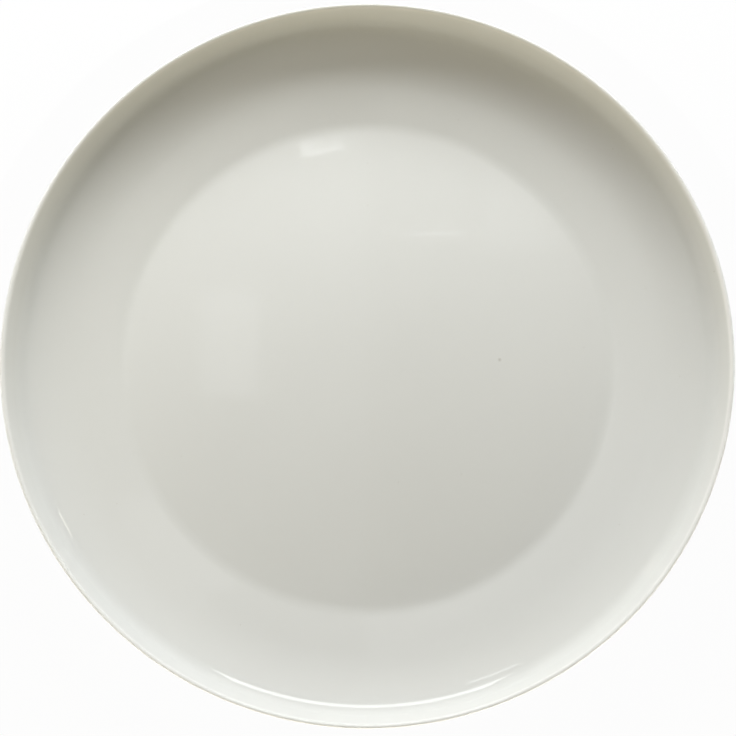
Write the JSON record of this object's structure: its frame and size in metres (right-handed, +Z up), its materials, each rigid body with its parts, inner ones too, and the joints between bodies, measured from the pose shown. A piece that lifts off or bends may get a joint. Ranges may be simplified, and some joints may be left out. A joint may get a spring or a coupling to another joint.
{
  "type": "dessert plate",
  "caption": "Round white porcelain dessert plate: a flat well, a verge that steepens to a short steep wall, a rolled lip and a foot ring, glazed but for the foot's rim.",
  "frame": {"origin": "centre of the foot ring, in the plane that the plate stands on", "axes": "+Z up along the plate's axis; +X and +Y are any two directions across it"},
  "size_m": [0.21, 0.21, 0.0245],
  "materials": {
    "bisque": "fired, ground smooth and bare, matt",
    "glaze": "clear glaze over white porcelain, glossy"
  },
  "bodies": {
    "root": {"porcelain_body": "bisque", "outer_glaze": "glaze", "base_glaze": "glaze"}
  },
  "joints": []
}
